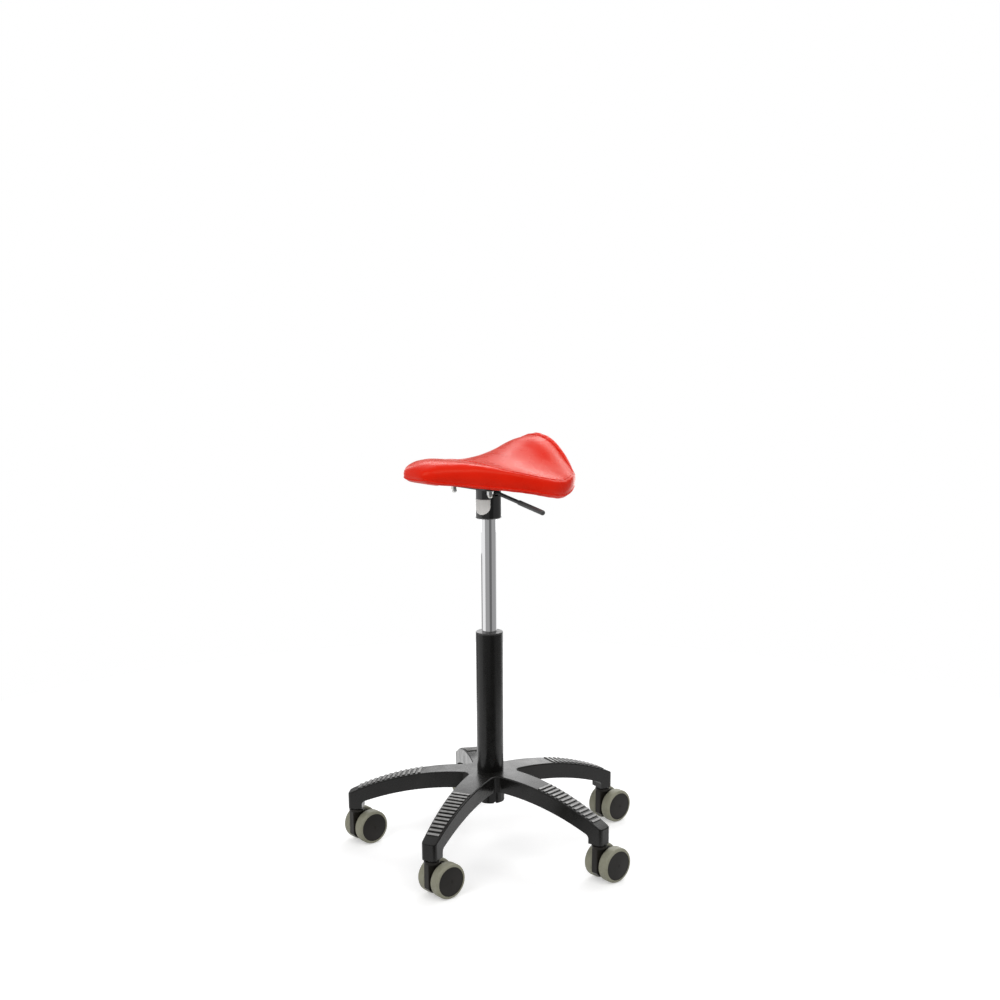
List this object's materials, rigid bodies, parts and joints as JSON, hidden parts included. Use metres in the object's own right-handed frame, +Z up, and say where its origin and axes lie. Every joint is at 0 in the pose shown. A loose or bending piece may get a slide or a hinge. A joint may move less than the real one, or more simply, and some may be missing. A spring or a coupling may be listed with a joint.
{
  "type": "saddle stool",
  "caption": "Height-adjustable saddle stool: red padded saddle seat on a chromed gas column over a black star base on twin-wheel castors.",
  "frame": {"origin": "on the floor, on the column's axis", "axes": "+Z up along the column; -Y is the way the seat's nose points; +X is the side the height lever points to"},
  "size_m": [0.5434, 0.5578, 0.7808],
  "materials": {
    "black_nylon": "satin moulded nylon",
    "black_tube": "satin black powder coat",
    "black_bush": "smooth moulded plastic",
    "steel": "turned steel",
    "zinc": "bright zinc plate",
    "chrome": "polished chrome",
    "gloss_black": "glossy black",
    "black_paint": "black paint",
    "black_shell": "moulded plastic",
    "red_vinyl": "smooth satin vinyl",
    "dark_rod": "dark grey paint",
    "grip_plastic": "satin plastic",
    "black_rubber": "matte rubber",
    "castor_black": "satin moulded plastic",
    "soft_tread": "soft matte polyurethane"
  },
  "bodies": {
    "base": {"star_base": "black_nylon", "castor_sockets": "steel", "stand_tube": "black_tube", "guide_bush": "black_bush", "foot_plate": "steel", "lower_race": "steel"},
    "rod": {"piston_rod": "steel", "retaining_clip": "steel", "ball_cage": "steel", "upper_race": "steel", "rubber_buffer": "black_rubber", "piston": "steel"},
    "lift": {"pressure_tube": "chrome", "rod_gland": "black_bush", "column_head": "gloss_black", "lever_pivot": "steel", "seat_plate": "black_paint", "seat_nuts": "zinc", "seat_shell": "black_shell", "seat_cushion": "red_vinyl"},
    "lever": {"lever_rod": "dark_rod", "lever_grip": "grip_plastic"},
    "valve": {"valve_pin": "steel"},
    "castor_1": {"castor_1_hood": "castor_black", "castor_1_stem": "steel", "castor_1_axle": "steel"},
    "castor_1_left": {"castor_1_left_wheel": "castor_black", "castor_1_left_tread": "soft_tread"},
    "castor_1_right": {"castor_1_right_wheel": "castor_black", "castor_1_right_tread": "soft_tread"},
    "castor_2": {"castor_2_hood": "castor_black", "castor_2_stem": "steel", "castor_2_axle": "steel"},
    "castor_2_left": {"castor_2_left_wheel": "castor_black", "castor_2_left_tread": "soft_tread"},
    "castor_2_right": {"castor_2_right_wheel": "castor_black", "castor_2_right_tread": "soft_tread"},
    "castor_3": {"castor_3_hood": "castor_black", "castor_3_stem": "steel", "castor_3_axle": "steel"},
    "castor_3_left": {"castor_3_left_wheel": "castor_black", "castor_3_left_tread": "soft_tread"},
    "castor_3_right": {"castor_3_right_wheel": "castor_black", "castor_3_right_tread": "soft_tread"},
    "castor_4": {"castor_4_hood": "castor_black", "castor_4_stem": "steel", "castor_4_axle": "steel"},
    "castor_4_left": {"castor_4_left_wheel": "castor_black", "castor_4_left_tread": "soft_tread"},
    "castor_4_right": {"castor_4_right_wheel": "castor_black", "castor_4_right_tread": "soft_tread"},
    "castor_5": {"castor_5_hood": "castor_black", "castor_5_stem": "steel", "castor_5_axle": "steel"},
    "castor_5_left": {"castor_5_left_wheel": "castor_black", "castor_5_left_tread": "soft_tread"},
    "castor_5_right": {"castor_5_right_wheel": "castor_black", "castor_5_right_tread": "soft_tread"}
  },
  "joints": [
    {"name": "seat_swivel", "type": "hinge", "parent": "base", "child": "rod", "pos_m": [0, 0, 0.1], "axis": [0, 0, 1], "continuous": true},
    {"name": "seat_height", "type": "slide", "parent": "rod", "child": "lift", "axis": [0, 0, 1], "range_m": [-0.195, 0]},
    {"name": "lever_pull", "type": "hinge", "parent": "lift", "child": "lever", "pos_m": [0.016, 0, 0.6816], "axis": [0, -1, 0], "range_deg": [0, 8], "stiffness_Nm_per_rad": 0.5, "springref_deg": -5.73},
    {"name": "valve_press", "type": "slide", "parent": "lift", "child": "valve", "axis": [0, 0, -1], "range_m": [0, 0.0024], "stiffness_N_per_m": 200, "springref_m": -0.002},
    {"name": "castor_1_swivel", "type": "hinge", "parent": "base", "child": "castor_1", "pos_m": [0.25665, 0.03836, 0.07], "axis": [0, 0, 1], "continuous": true},
    {"name": "castor_1_left_roll", "type": "hinge", "parent": "castor_1", "child": "castor_1_left", "pos_m": [0.25665, 0.05936, 0.0325], "axis": [1, 0, 0], "continuous": true},
    {"name": "castor_1_right_roll", "type": "hinge", "parent": "castor_1", "child": "castor_1_right", "pos_m": [0.25665, 0.05936, 0.0325], "axis": [1, 0, 0], "continuous": true},
    {"name": "castor_2_swivel", "type": "hinge", "parent": "base", "child": "castor_2", "pos_m": [0.04283, 0.25594, 0.07], "axis": [0, 0, 1], "continuous": true},
    {"name": "castor_2_left_roll", "type": "hinge", "parent": "castor_2", "child": "castor_2_left", "pos_m": [0.04283, 0.27694, 0.0325], "axis": [1, 0, 0], "continuous": true},
    {"name": "castor_2_right_roll", "type": "hinge", "parent": "castor_2", "child": "castor_2_right", "pos_m": [0.04283, 0.27694, 0.0325], "axis": [1, 0, 0], "continuous": true},
    {"name": "castor_3_swivel", "type": "hinge", "parent": "base", "child": "castor_3", "pos_m": [-0.23018, 0.11982, 0.07], "axis": [0, 0, 1], "continuous": true},
    {"name": "castor_3_left_roll", "type": "hinge", "parent": "castor_3", "child": "castor_3_left", "pos_m": [-0.23018, 0.14082, 0.0325], "axis": [1, 0, 0], "continuous": true},
    {"name": "castor_3_right_roll", "type": "hinge", "parent": "castor_3", "child": "castor_3_right", "pos_m": [-0.23018, 0.14082, 0.0325], "axis": [1, 0, 0], "continuous": true},
    {"name": "castor_4_swivel", "type": "hinge", "parent": "base", "child": "castor_4", "pos_m": [-0.18509, -0.18189, 0.07], "axis": [0, 0, 1], "continuous": true},
    {"name": "castor_4_left_roll", "type": "hinge", "parent": "castor_4", "child": "castor_4_left", "pos_m": [-0.18509, -0.16089, 0.0325], "axis": [1, 0, 0], "continuous": true},
    {"name": "castor_4_right_roll", "type": "hinge", "parent": "castor_4", "child": "castor_4_right", "pos_m": [-0.18509, -0.16089, 0.0325], "axis": [1, 0, 0], "continuous": true},
    {"name": "castor_5_swivel", "type": "hinge", "parent": "base", "child": "castor_5", "pos_m": [0.11579, -0.23223, 0.07], "axis": [0, 0, 1], "continuous": true},
    {"name": "castor_5_left_roll", "type": "hinge", "parent": "castor_5", "child": "castor_5_left", "pos_m": [0.11579, -0.21124, 0.0325], "axis": [1, 0, 0], "continuous": true},
    {"name": "castor_5_right_roll", "type": "hinge", "parent": "castor_5", "child": "castor_5_right", "pos_m": [0.11579, -0.21124, 0.0325], "axis": [1, 0, 0], "continuous": true}
  ],
  "couplings": [
    {"joint": "valve_press", "follows": "lever_pull", "m_per_rad": 0.017}
  ]
}
